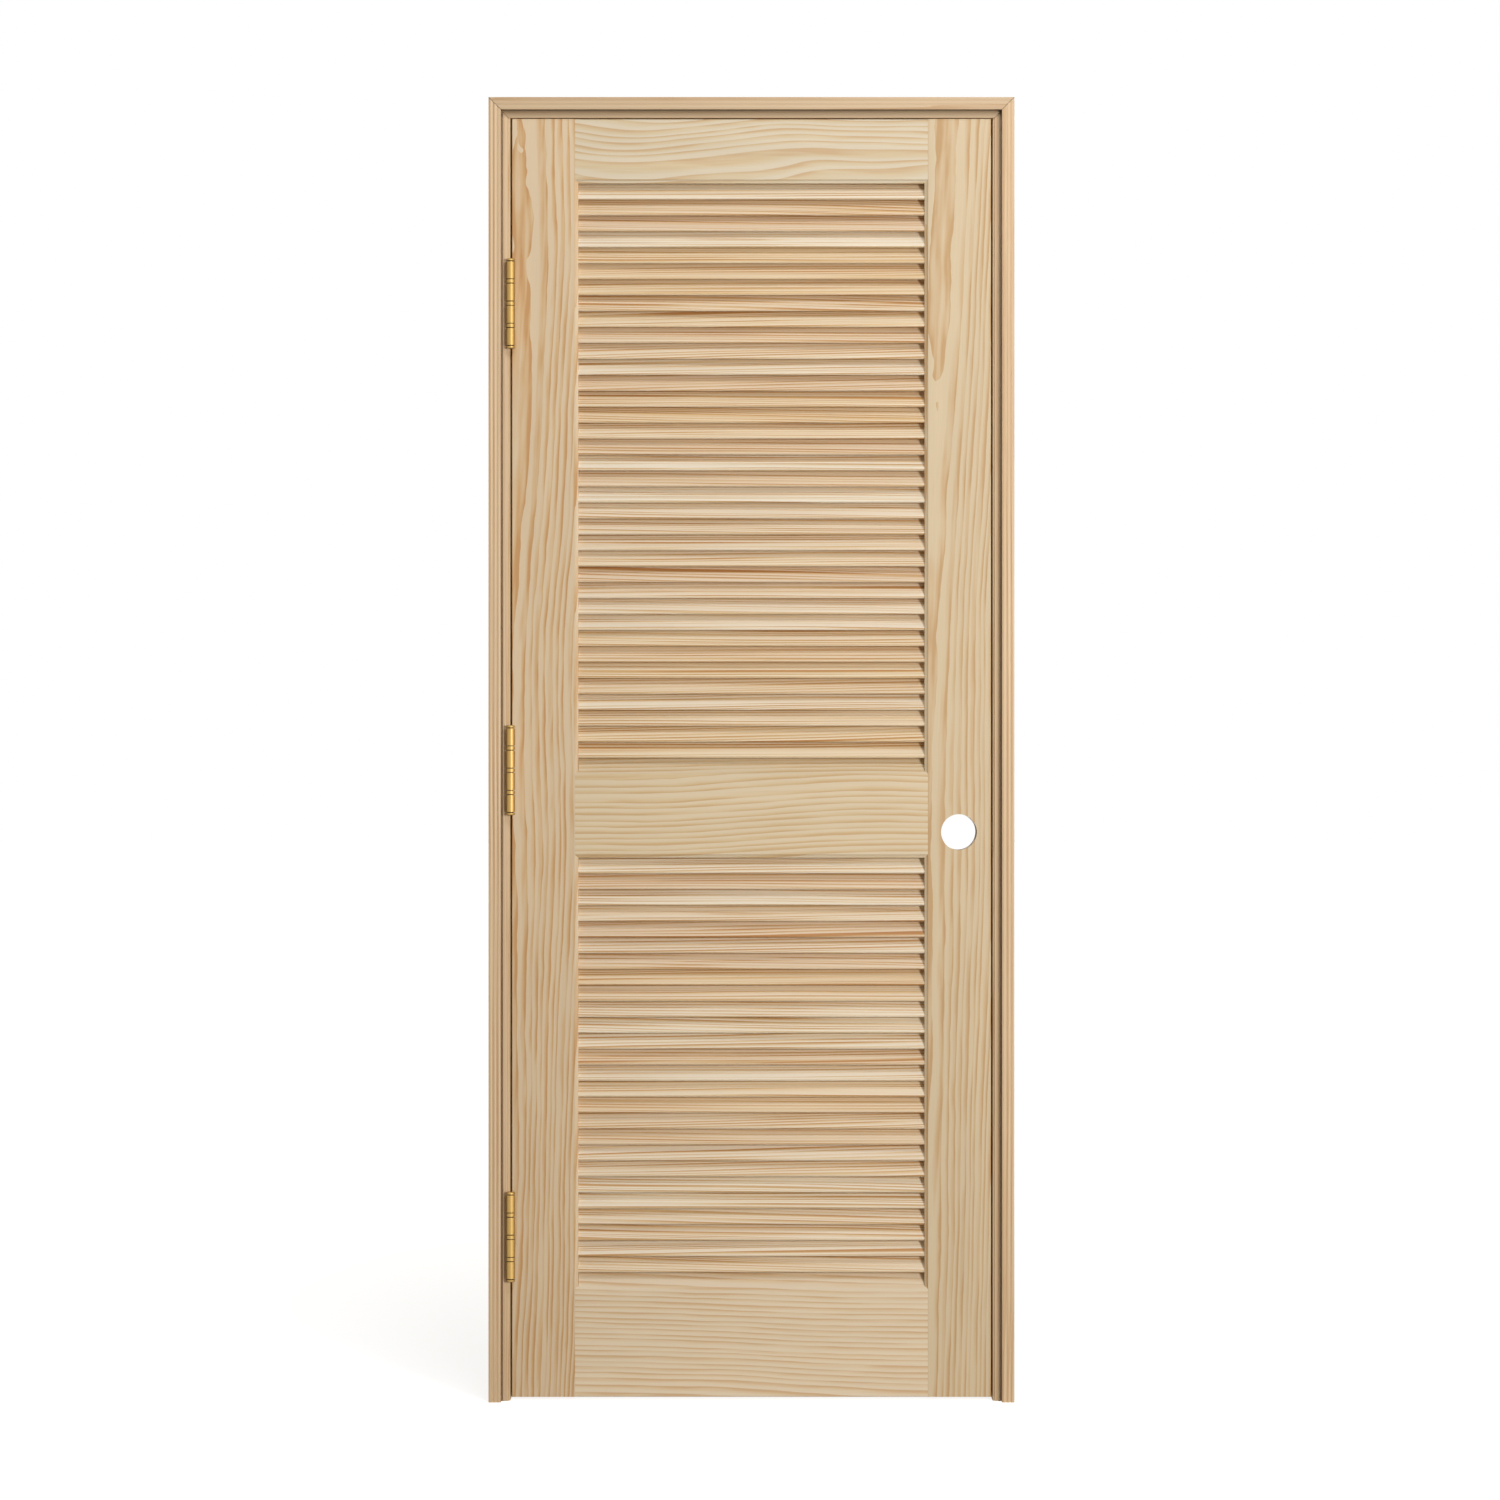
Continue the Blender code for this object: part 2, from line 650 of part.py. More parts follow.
def leaf_outline(knuckles):
    """Plate outline about the pin, as (depth, height) points, with a tooth for each knuckle."""
    tooth = (BARREL_BORE + BARREL_RADIUS) / 2
    back = PIN_OFFSET + LEAF_DEPTH
    outline = rounded_plate(PIN_OFFSET, back, LEAF_HEIGHT / 2, LEAF_CORNER)[:-2]
    outline.append((PIN_OFFSET, BARREL_TOP))
    for low, high, _ in knuckles:
        top = high - 2 * BARREL_GROOVE
        bottom = low + 2 * BARREL_GROOVE
        outline += [(PIN_OFFSET, top), (tooth, top), (tooth, bottom), (PIN_OFFSET, bottom)]
    return outline + [(PIN_OFFSET, BARREL_BOTTOM)]


def leaf_mesh(name, side, knuckles):
    """One hinge leaf about its pin, on the jamb (side = -1) or on the door (side = 1)."""
    near = side * SIDE_GAP / 2
    far = near + side * LEAF_THICKNESS
    plate = bmesh.new()
    along_x(plate, leaf_outline(knuckles), near, far)
    leaf = add_object(name, to_mesh(name, plate), BRASS)
    barrel = bmesh.new()
    for low, high, grooves in knuckles:
        knuckle(barrel, low, high, grooves)
    barrel_tool = add_tool(name + "_barrel", barrel)
    combine(leaf, "UNION", barrel_tool)
    holes = bmesh.new()
    face_outward = Matrix.Rotation(-side * pi / 2, 4, "Y")
    sink = SCREW_HEAD_RADIUS - SCREW_HOLE_RADIUS
    profile = [
        (0.0, OVERRUN),
        (SCREW_HEAD_RADIUS, OVERRUN),
        (SCREW_HEAD_RADIUS, 0.0),
        (SCREW_HOLE_RADIUS, -sink),
        (SCREW_HOLE_RADIUS, -LEAF_THICKNESS - OVERRUN),
        (0.0, -LEAF_THICKNESS - OVERRUN),
    ]
    for index, share in enumerate(SCREW_HEIGHTS):
        from_back = SCREW_EDGE if index % 2 else LEAF_DEPTH - SCREW_EDGE
        centre = (near, PIN_OFFSET + LEAF_DEPTH - from_back, share * LEAF_HEIGHT)
        turn(holes, profile, SCREW_FACETS, Matrix.Translation(centre) @ face_outward)
    holes_tool = add_tool(name + "_screw_holes", holes)
    combine(leaf, "DIFFERENCE", holes_tool)
    finished = bpy.data.meshes.new_from_object(
        leaf.evaluated_get(bpy.context.evaluated_depsgraph_get())
    )
    for helper in (leaf, barrel_tool, holes_tool):
        bpy.data.objects.remove(helper)
    return finished


def pin_mesh():
    """The pin with its head and its tip, which stand over the ends of the barrel."""
    top = BARREL_TOP + FIT
    bottom = BARREL_BOTTOM - FIT
    rim = BARREL_RADIUS - BARREL_GROOVE
    profile = [
        (0.0, top + TIP_HEIGHT),
        (rim - BARREL_GROOVE, top + TIP_HEIGHT),
        (BARREL_RADIUS, top + TIP_HEIGHT / 2),
        (BARREL_RADIUS, top + BARREL_GROOVE),
        (rim, top),
        (PIN_RADIUS, top),
        (PIN_RADIUS, bottom),
        (rim, bottom),
        (BARREL_RADIUS, bottom - BARREL_GROOVE),
        (BARREL_RADIUS, bottom - TIP_HEIGHT / 2),
        (rim - BARREL_GROOVE, bottom - TIP_HEIGHT),
        (0.0, bottom - TIP_HEIGHT),
    ]
    shape = bmesh.new()
    turn(shape, profile, BARREL_FACETS, Matrix.Identity(4))
    return to_mesh("hinge_pin", shape)


jamb_leaf = leaf_mesh("jamb_leaf", -1, JAMB_KNUCKLES)
door_leaf = leaf_mesh("door_leaf", 1, DOOR_KNUCKLES)
pin = pin_mesh()
gain_outline = rounded_plate(-OVERRUN, LEAF_DEPTH + FIT, LEAF_HEIGHT / 2 + FIT, LEAF_CORNER + FIT)
gain_depth = LEAF_THICKNESS + FIT
gains = bmesh.new()
for level, hinge_height in HINGE_HEIGHTS.items():
    at_pin = (PIN_X, -PIN_OFFSET, hinge_height)
    add_object(level + "_hinge_jamb_leaf", jamb_leaf, BRASS, at_pin)
    add_object(level + "_hinge_pin", pin, BRASS, at_pin)
    add_object(level + "_hinge_door_leaf", door_leaf, BRASS, at_pin, swings=True)
    along_x(gains, raised(gain_outline, hinge_height), JAMB_LEFT - gain_depth, DOOR_LEFT + gain_depth)
hinge_gains = add_tool("hinge_gains", gains)
combine(hinge_stile, "DIFFERENCE", hinge_gains)
combine(hinge_jamb, "DIFFERENCE", hinge_gains)
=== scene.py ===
from math import ceil, cos, pi, radians, sin

import bmesh
import bpy
from mathutils import Matrix, Vector


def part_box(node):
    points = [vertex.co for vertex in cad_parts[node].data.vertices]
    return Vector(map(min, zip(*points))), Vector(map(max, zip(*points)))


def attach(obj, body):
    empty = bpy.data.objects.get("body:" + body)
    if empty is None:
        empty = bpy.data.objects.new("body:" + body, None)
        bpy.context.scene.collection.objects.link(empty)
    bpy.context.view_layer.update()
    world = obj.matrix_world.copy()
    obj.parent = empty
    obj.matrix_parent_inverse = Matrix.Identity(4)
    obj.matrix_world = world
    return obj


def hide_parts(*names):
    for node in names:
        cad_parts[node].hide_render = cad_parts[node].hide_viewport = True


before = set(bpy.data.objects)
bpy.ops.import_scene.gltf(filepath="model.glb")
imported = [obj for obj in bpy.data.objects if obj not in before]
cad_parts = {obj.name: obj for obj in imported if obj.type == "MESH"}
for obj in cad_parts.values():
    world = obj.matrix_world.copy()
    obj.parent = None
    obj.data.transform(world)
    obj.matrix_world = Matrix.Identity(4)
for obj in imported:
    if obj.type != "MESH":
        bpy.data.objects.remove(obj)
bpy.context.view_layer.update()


# Jambs and stops: planed pine boards, 17.5 mm thick, with the stops nailed to them behind the
# door. Pine shows pale earlywood that darkens into an orange-brown latewood line and then starts
# again, so a ring is a sawtooth of colour round the tree's pith

def linear(hex_colour):
    """An sRGB hex colour as the linear RGBA that a shader takes."""
    channels = [int(hex_colour[i:i + 2], 16) / 255 for i in (1, 3, 5)]
    return [c / 12.92 if c <= 0.04045 else ((c + 0.055) / 1.055) ** 2.4 for c in channels] + [1.0]


def add(tree, kind, settings=None, **sockets):
    """Adds a node, sets it, and fills or links sockets, named with _ for spaces or as _number."""
    node = tree.nodes.new(kind)
    for setting, value in (settings or {}).items():
        setattr(node, setting, value)
    for name, value in sockets.items():
        socket = node.inputs[int(name[1:]) if name[1:].isdigit() else name.replace("_", " ")]
        if isinstance(value, bpy.types.NodeSocket):
            tree.links.new(value, socket)
        else:
            socket.default_value = value
    return node


UPRIGHT = (0.0, 0.0, 0.0)
ACROSS = (0.0, pi / 2, 0.0)
# Real fibres are too fine to show, so they are drawn in bundles about a millimetre wide
FIBRE_WIDTH = 0.0011
FIBRE_LENGTH = 0.07
FIBRE_STRENGTH = 0.04
DRIFT_WIDTH = 0.033
DRIFT_LENGTH = 0.4
DRIFT_STRENGTH = 0.07
FADE_WIDTH = 0.009
FADE_LENGTH = 0.14
FADE_RANGE = (0.32, 0.62)
YEARS_ALIKE = 2.5
YEAR_SPREAD = 1.9
LATEWOOD_HEIGHT = 0.5
GRAIN_DEPTH = 0.0003
GRAIN_STRENGTH = 0.25
SANDED_ROUGHNESS = 0.5


def streaks(tree, place, width, length, detail):
    """A noise drawn out along the grain, its patches as wide and as long as given."""
    size = (1 / width, 1 / width, 1 / length)
    drawn_out = add(tree, "ShaderNodeMapping", Vector=place, Scale=size).outputs[0]
    return add(tree, "ShaderNodeTexNoise", Vector=drawn_out, Scale=1.0, Detail=detail).outputs


def pine_grain(tree, place, board):
    """Growth rings of one board: returns its colour and its height for bump.

    A board says which way its grain runs and leans, where its pith lies, how wide its rings are,
    how they sway (across, along and by how much), and how faint and uneven their lines are.
    """
    turn = [base + lean for base, lean in zip(board["grain"], board["lean"])]
    local = add(
        tree, "ShaderNodeMapping", {"vector_type": "TEXTURE"},
        Vector=place, Location=board["pith"], Rotation=turn,
    ).outputs[0]
    path = local
    for span, length, sway in board["sway"]:
        centred = add(
            tree, "ShaderNodeVectorMath", {"operation": "SUBTRACT"},
            _0=streaks(tree, local, span, length, 1.0)["Color"], _1=(0.5, 0.5, 0.5),
        ).outputs[0]
        path = add(
            tree, "ShaderNodeVectorMath", {"operation": "MULTIPLY_ADD"},
            _0=centred, _1=(sway, sway, 0.0), _2=path,
        ).outputs[0]
    # The years differ: each ring has its own width, and its dark line is strong or faint in places
    flat = add(
        tree, "ShaderNodeVectorMath", {"operation": "MULTIPLY"}, _0=path, _1=(1.0, 1.0, 0.0)
    ).outputs[0]
    radius = add(tree, "ShaderNodeVectorMath", {"operation": "LENGTH"}, _0=flat).outputs["Value"]
    years = add(
        tree, "ShaderNodeMath", {"operation": "DIVIDE"}, _0=radius, _1=board["ring"]
    ).outputs[0]
    weather = add(
        tree, "ShaderNodeTexNoise", {"noise_dimensions": "1D"},
        W=years, Scale=1 / YEARS_ALIKE, Detail=1.0,
    ).outputs["Fac"]
    counted = add(
        tree, "ShaderNodeMath", {"operation": "MULTIPLY_ADD"},
        _0=weather, _1=board.get("spread", YEAR_SPREAD), _2=years,
    ).outputs[0]
    rings = add(tree, "ShaderNodeMath", {"operation": "FRACT"}, _0=counted).outputs[0]
    fade = streaks(tree, path, FADE_WIDTH, board.get("fade_length", FADE_LENGTH), 1.0)["Fac"]
    line = add(
        tree, "ShaderNodeMapRange",
        Value=fade, From_Min=FADE_RANGE[0], From_Max=FADE_RANGE[1],
        To_Min=board["faint"], To_Max=1.0,
    ).outputs[0]
    drawn = add(tree, "ShaderNodeMath", {"operation": "MULTIPLY"}, _0=rings, _1=line).outputs[0]
    ramp = add(tree, "ShaderNodeValToRGB", Fac=drawn)
    stops = ramp.color_ramp.elements
    stops[0].color = linear(board["early"])
    stops[1].color = linear(board["late"])
    for position, tint in ((0.28, "early"), (0.60, "turning"), (0.82, "late")):
        stops.new(position).color = linear(board[tint])
    fibre = streaks(tree, local, FIBRE_WIDTH, FIBRE_LENGTH, 1.0)["Fac"]
    drift = streaks(tree, local, DRIFT_WIDTH, DRIFT_LENGTH, 2.0)["Fac"]
    light = add(
        tree, "ShaderNodeMapRange",
        Value=drift, To_Min=1 - DRIFT_STRENGTH, To_Max=1 + DRIFT_STRENGTH,
    ).outputs[0]
    streak = add(
        tree, "ShaderNodeMapRange",
        Value=fibre, To_Min=1 - FIBRE_STRENGTH, To_Max=1 + FIBRE_STRENGTH,
    ).outputs[0]
    both = add(tree, "ShaderNodeMath", {"operation": "MULTIPLY"}, _0=light, _1=streak).outputs[0]
    colour = add(
        tree, "ShaderNodeVectorMath", {"operation": "SCALE"}, _0=ramp.outputs[0], Scale=both
    ).outputs[0]
    height = add(
        tree, "ShaderNodeMath", {"operation": "MULTIPLY_ADD"},
        _0=drawn, _1=LATEWOOD_HEIGHT, _2=fibre,
    ).outputs[0]
    return colour, height


def pine_finish(name, grain, *details):
    """Planed and sanded bare pine: a dull, slightly open surface with a faint sheen."""
    material = bpy.data.materials.new(name)
    material.use_nodes = True
    tree = material.node_tree
    shader = tree.nodes["Principled BSDF"]
    shader.inputs["Roughness"].default_value = SANDED_ROUGHNESS
    place = add(tree, "ShaderNodeTexCoord").outputs["Object"]
    colour, height = grain(tree, place, *details)
    bump = add(
        tree, "ShaderNodeBump", Height=height, Strength=GRAIN_STRENGTH, Distance=GRAIN_DEPTH
    ).outputs[0]
    tree.links.new(colour, shader.inputs["Base Color"])
    tree.links.new(bump, shader.inputs["Normal"])
    return material


def dress(material, *nodes):
    """Gives its finish to each CAD node that is shown as it is."""
    for node in nodes:
        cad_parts[node].data.materials.clear()
        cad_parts[node].data.materials.append(material)


jamb_tints = {"early": "#D9C09A", "turning": "#D2B488", "late": "#C6A070"}
jamb_sway = ((0.22, 0.9, 0.05), (0.03, 0.25, 0.005))
side_jamb_pine = pine_finish("side_jamb_pine", pine_grain, {
    "grain": UPRIGHT, "lean": (0.006, 0.004, 0.0), "pith": (0.30, 0.16, 0.0), "ring": 0.0065,
    "sway": jamb_sway, "faint": 0.6, **jamb_tints,
})
head_jamb_pine = pine_finish("head_jamb_pine", pine_grain, {
    "grain": ACROSS, "lean": (0.004, 0.006, 0.0), "pith": (0.0, 0.14, 2.12), "ring": 0.006,
    "sway": jamb_sway, "faint": 0.6, **jamb_tints,
})
dress(side_jamb_pine, "hinge_jamb", "strike_jamb", "hinge_stop", "strike_stop")
dress(head_jamb_pine, "head_jamb", "head_stop")


# Casing: a pine moulding, reeded on its outer strip, with a quirk and a cove down to a thin lip,
# mitred at the top corners and nailed to the jambs. It was run from straight-grained stock, so
# its lines are close, pale and almost parallel. The shade in its quirk and cove is painted into its
# colour

MITRE_HALF_WIDTH = 0.0006
HAIRLINE_TONE = 0.35
# A little less than the reeded strip is wide, so that the wall beside it gets the cove's painted
# shade
STRIP_WIDTH = 0.0191
COVE_REACH = 0.011
casing_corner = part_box("head_casing")[1]


def mitred_grain(tree, place, board):
    """Grain of one casing piece, with painted shade in its quirk and cove, and a hairline at the
    mitre.
    """
    colour, height = pine_grain(tree, place, board)
    parts = add(tree, "ShaderNodeSeparateXYZ", Vector=place)
    out = add(tree, "ShaderNodeMath", {"operation": "ABSOLUTE"}, _0=parts.outputs["X"]).outputs[0]
    rise = add(
        tree, "ShaderNodeMath", {"operation": "SUBTRACT"}, _0=out, _1=parts.outputs["Z"]
    ).outputs[0]
    away = add(
        tree, "ShaderNodeMath", {"operation": "ADD"},
        _0=rise, _1=casing_corner[2] - casing_corner[0],
    ).outputs[0]
    off = add(tree, "ShaderNodeMath", {"operation": "ABSOLUTE"}, _0=away).outputs[0]
    hairline = add(
        tree, "ShaderNodeMapRange",
        Value=off, From_Max=2 * MITRE_HALF_WIDTH, To_Min=HAIRLINE_TONE,
    ).outputs[0]
    # Painted shade: darkest beside the strip and fading out towards the lip, as if the strip shaded
    # the cove
    across = add(
        tree, "ShaderNodeMath", {"operation": "SUBTRACT"},
        _0=out, _1=casing_corner[0] - STRIP_WIDTH,
    ).outputs[0]
    up = add(
        tree, "ShaderNodeMath", {"operation": "SUBTRACT"},
        _0=parts.outputs["Z"], _1=casing_corner[2] - STRIP_WIDTH,
    ).outputs[0]
    beyond = add(tree, "ShaderNodeMath", {"operation": "MAXIMUM"}, _0=across, _1=up).outputs[0]
    strip = add(
        tree, "ShaderNodeMath", {"operation": "GREATER_THAN"}, _0=beyond, _1=0.0
    ).outputs[0]
    painted_cove_shade = add(
        tree, "ShaderNodeMapRange",
        Value=beyond, From_Min=-COVE_REACH, From_Max=0.0, To_Min=1.0, To_Max=board["cove"],
    ).outputs[0]
    tone = add(tree, "ShaderNodeMath", {"operation": "MAXIMUM"}, _0=strip, _1=painted_cove_shade).outputs[0]
    dark = add(tree, "ShaderNodeMath", {"operation": "MULTIPLY"}, _0=tone, _1=hairline).outputs[0]
    joined = add(tree, "ShaderNodeVectorMath", {"operation": "SCALE"}, _0=colour, Scale=dark)
    return joined.outputs[0], height


# The cove value is how dark the painted shade gets beside the strip; the head piece's is deeper
casing_sway = ((0.3, 1.6, 0.03), (0.03, 0.4, 0.003))
side_casing_pine = pine_finish("side_casing_pine", mitred_grain, {
    "grain": UPRIGHT, "lean": (0.001, 0.002, 0.0), "pith": (0.12, 0.4, 0.0), "ring": 0.0052,
    "sway": casing_sway, "faint": 0.7, "cove": 0.62,
    "early": "#DABE99", "turning": "#D5B58F", "late": "#CBA77E",
})
head_casing_pine = pine_finish("head_casing_pine", mitred_grain, {
    "grain": ACROSS, "lean": (0.002, 0.001, 0.0), "pith": (0.0, 0.4, 1.9), "ring": 0.0052,
    "sway": casing_sway, "faint": 0.7, "cove": 0.52,
    "early": "#CEB390", "turning": "#C9AB87", "late": "#C09E77",
})
dress(side_casing_pine, "hinge_side_casing", "strike_side_casing")
dress(head_casing_pine, "head_casing")


# Stiles: the slab's two uprights of pine, mortised for the rails and housed for the louvres.
# Their rings rise in even lines that open into wider bands and a long arch at the top. The solid
# of the hinge stile also holds the lower louvres, so the stile is cut from it and closed again

MERGE_DISTANCE = 0.000001
CUT_TOLERANCE = 0.000005
STILE_INNER_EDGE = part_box("lock_stile")[0][0]
SHARP_EDGE = radians(35)


def joined_copy(node):
    """A copy of a CAD node, with its loose triangles joined."""
    shape = bmesh.new()
    shape.from_mesh(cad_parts[node].data)
    bmesh.ops.remove_doubles(shape, verts=shape.verts, dist=MERGE_DISTANCE)
    return shape


def cut_away(shape, place, way):
    """Cuts off what lies beyond a plane, in the way given, and closes the cut."""
    bmesh.ops.bisect_plane(
        shape, geom=shape.verts[:] + shape.edges[:] + shape.faces[:], dist=CUT_TOLERANCE,
        plane_co=place, plane_no=way, clear_outer=True,
    )
    cut_edges = [edge for edge in shape.edges if edge.is_boundary]
    bmesh.ops.holes_fill(shape, edges=cut_edges, sides=0)
    bmesh.ops.recalc_face_normals(shape, faces=shape.faces)


def keep(name, shape, material, body, slot, *nodes):
    """Makes a piece of the visual model from a finished shape, in place of its CAD nodes."""
    for face in shape.faces:
        face.smooth = True
    for edge in shape.edges:
        edge.smooth = edge.calc_face_angle(pi) < SHARP_EDGE
    mesh = bpy.data.meshes.new(name)
    shape.to_mesh(mesh)
    shape.free()
    mesh.materials.append(material)
    piece = bpy.data.objects.new(name, mesh)
    bpy.context.collection.objects.link(piece)
    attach(piece, body)
    if nodes:
        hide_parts(*nodes)
    return piece


hinge_stile_pine = pine_finish("hinge_stile_pine", pine_grain, {
    "grain": UPRIGHT, "lean": (-0.012, 0.042, 0.0), "pith": (-0.412, 0.034, 1.0), "ring": 0.0075,
    "sway": ((0.2, 0.6, 0.035), (0.03, 0.10, 0.004), (0.012, 0.035, 0.0016)), "faint": 0.50,
    "spread": 0.9,
    "early": "#DAC4A4", "turning": "#D0AD80", "late": "#C29461",
})
hinge_stile = joined_copy("hinge_stile")
cut_away(hinge_stile, (-STILE_INNER_EDGE, 0.0, 0.0), (1.0, 0.0, 0.0))
keep("hinge_stile_board", hinge_stile, hinge_stile_pine, "door", "stile_pine", "hinge_stile")
lock_stile_pine = pine_finish("lock_stile_pine", pine_grain, {
    "grain": UPRIGHT, "lean": (0.004, 0.030, 0.0), "pith": (0.270, 0.030, 1.0), "ring": 0.0068,
    "sway": ((0.2, 0.8, 0.03), (0.03, 0.12, 0.0035), (0.012, 0.035, 0.0014)), "faint": 0.50,
    "spread": 1.0,
    "early": "#D5C1A0", "turning": "#CDB088", "late": "#C19C6E",
})
lock_stile = joined_copy("lock_stile")
keep("lock_stile_board", lock_stile, lock_stile_pine, "door", "stile_pine", "lock_stile")


# Rails: three wide pine boards, coped and tenoned into the stiles, with rings that run along them
# in long, gently wavy lines. They are the palest pieces of the slab

fine_sway = ((0.25, 0.6, 0.035), (0.03, 0.13, 0.0035), (0.012, 0.04, 0.001))
rail_boards = {
    "top_rail": {
        "lean": (0.02, 0.010, 0.0), "pith": (0.1, 0.06, 1.925), "ring": 0.0062,
        "sway": ((0.14, 0.42, 0.05), (0.03, 0.2, 0.005)), "faint": 0.7,
        "early": "#D8CAB1", "turning": "#D3BE9A", "late": "#C9AB84",
    },
    "lock_rail": {
        "lean": (0.01, -0.02, 0.0), "pith": (0.0, 0.06, 1.08), "ring": 0.0080, "sway": fine_sway,
        "faint": 0.65, "spread": 0.9,
        "early": "#DDCBAD", "turning": "#D7BE95", "late": "#CDAC7F",
    },
    "bottom_rail": {
        "lean": (-0.01, 0.01, 0.0), "pith": (0.0, 0.02, -0.06), "ring": 0.0082, "sway": fine_sway,
        "faint": 0.65, "spread": 0.9,
        "early": "#E6D4B9", "turning": "#E0C7A3", "late": "#D4B38B",
    },
}
for rail, board in rail_boards.items():
    rail_pine = pine_finish(rail + "_pine", pine_grain, {"grain": ACROSS, **board})
    dress(rail_pine, rail)


# Louvres: fixed pine slats with round edges, 6.4 mm thick and 38 mm wide, sloping down to the
# front at 50 degrees and housed in the stiles. They are ripped from many straight-grained
# boards, so each has its own long, even lines and its own tone

LOUVRE_SLOPE = radians(50)
LOUVRE_WIDTH = 0.038
LOUVRE_THICKNESS = 0.0064
LOUVRE_EDGE_FLAT = 0.00004
# The most that the grain moves from slat to slat, in metres, and that it slants along one
SLAT_SHIFT = (6.0, 0.12, 0.9)
SLAT_SLANT = 0.05
first_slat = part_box("upper_louvre_01")
LOUVRE_PITCH = first_slat[0][2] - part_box("upper_louvre_02")[0][2]
LOUVRE_MIDDLE = (Vector(first_slat[0]) + Vector(first_slat[1])) / 2
LOUVRE_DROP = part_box("top_rail")[0][2] - LOUVRE_MIDDLE.z


def louvre_grain(tree, place):
    """Rings and tone that differ from slat to slat by the number that its faces carry."""
    slat = add(tree, "ShaderNodeAttribute", {"attribute_name": "slat"}).outputs["Fac"]
    chance = add(tree, "ShaderNodeTexWhiteNoise", {"noise_dimensions": "1D"}, W=slat)
    moved = add(
        tree, "ShaderNodeVectorMath", {"operation": "MULTIPLY_ADD"},
        _0=chance.outputs["Color"], _1=SLAT_SHIFT, _2=place,
    ).outputs[0]
    along = add(tree, "ShaderNodeSeparateXYZ", Vector=place).outputs["X"]
    slant = add(
        tree, "ShaderNodeVectorMath", {"operation": "MULTIPLY_ADD"},
        _0=chance.outputs["Color"],
        _1=(0.0, SLAT_SLANT, SLAT_SLANT), _2=(0.0, -SLAT_SLANT / 2, -SLAT_SLANT / 2),
    ).outputs[0]
    sheared = add(
        tree, "ShaderNodeVectorMath", {"operation": "MULTIPLY_ADD"}, _0=slant, _1=along, _2=moved
    ).outputs[0]
    colour, height = pine_grain(tree, sheared, {
        "grain": ACROSS, "lean": (0.0, 0.0, 0.0), "pith": (0.0, 0.02, 0.15), "ring": 0.0044,
        "sway": ((0.05, 0.7, 0.014), (0.012, 0.30, 0.0014)), "faint": 0.5, "fade_length": 0.5,
        "early": "#F2E7D3", "turning": "#E4CA9F", "late": "#C4945D",
    })
    tone = add(tree, "ShaderNodeValToRGB", Fac=chance.outputs["Value"])
    tone.color_ramp.elements[0].color = linear("#FFFFFF")
    tone.color_ramp.elements[1].color = linear("#F8ECD9")
    for position, tint in ((0.30, "#FBF5F0"), (0.55, "#FAF1E2"), (0.75, "#F4E8DF")):
        tone.color_ramp.elements.new(position).color = linear(tint)
    toned = add(
        tree, "ShaderNodeVectorMath", {"operation": "MULTIPLY"}, _0=colour, _1=tone.outputs[0]
    )
    return toned.outputs[0], height


louvre_pine = pine_finish("louvre_pine", louvre_grain)


def louvre_bank(name, first_number, upper_rail, lower_rail, *nodes):
    """The slats from one rail down to the sill of the next, each marked with its number."""
    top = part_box(upper_rail)[0][2]
    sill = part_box(lower_rail)[1][2]
    count = ceil((top - sill) / LOUVRE_PITCH)
    bank = bmesh.new()
    number = bank.faces.layers.float.new("slat")
    length = first_slat[1][0] - first_slat[0][0]
    for i in range(count):
        middle = (LOUVRE_MIDDLE.x, LOUVRE_MIDDLE.y, top - LOUVRE_DROP - i * LOUVRE_PITCH)
        place = Matrix.Translation(middle) @ Matrix.Rotation(LOUVRE_SLOPE, 4, "X")
        size = Matrix.Diagonal((length, LOUVRE_WIDTH, LOUVRE_THICKNESS, 1.0))
        corners = bmesh.ops.create_cube(bank, size=1.0, matrix=place @ size)["verts"]
        slat_faces = {face for corner in corners for face in corner.link_faces}
        for face in slat_faces:
            face[number] = first_number + i
        long_edges = {
            edge for corner in corners for edge in corner.link_edges
            if edge.calc_length() > length / 2
        }
        bmesh.ops.bevel(
            bank, geom=list(long_edges), offset=(LOUVRE_THICKNESS - LOUVRE_EDGE_FLAT) / 2,
            affect="EDGES", segments=8, profile=0.5, material=-1,
        )
    keep(name, bank, louvre_pine, "door", "louvre_pine", *nodes)


upper_nodes = sorted(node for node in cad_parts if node.startswith("upper_louvre_"))
louvre_bank("upper_louvres", 1, "top_rail", "lock_rail", *upper_nodes)
louvre_bank("lower_louvres", 101, "lock_rail", "bottom_rail", "hinge_stile")


# Hinges: polished and lacquered brass butt hinges. Each leaf is a plate let into the wood, with
# rolled knuckles, and the jamb leaf carries the bearing rings. A loose pin with two tips runs
# through the knuckles

JOINT_WIDTH = 0.0013
JOINT_DEPTH = 0.0025
EDGE_ROUND = 0.0002
HINGE_GAP = 0.0003


def hinge_axis(level):
    """The middle of a hinge's pin."""
    low, high = (Vector(corner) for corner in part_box(level + "_hinge_pin"))
    return (low + high) / 2


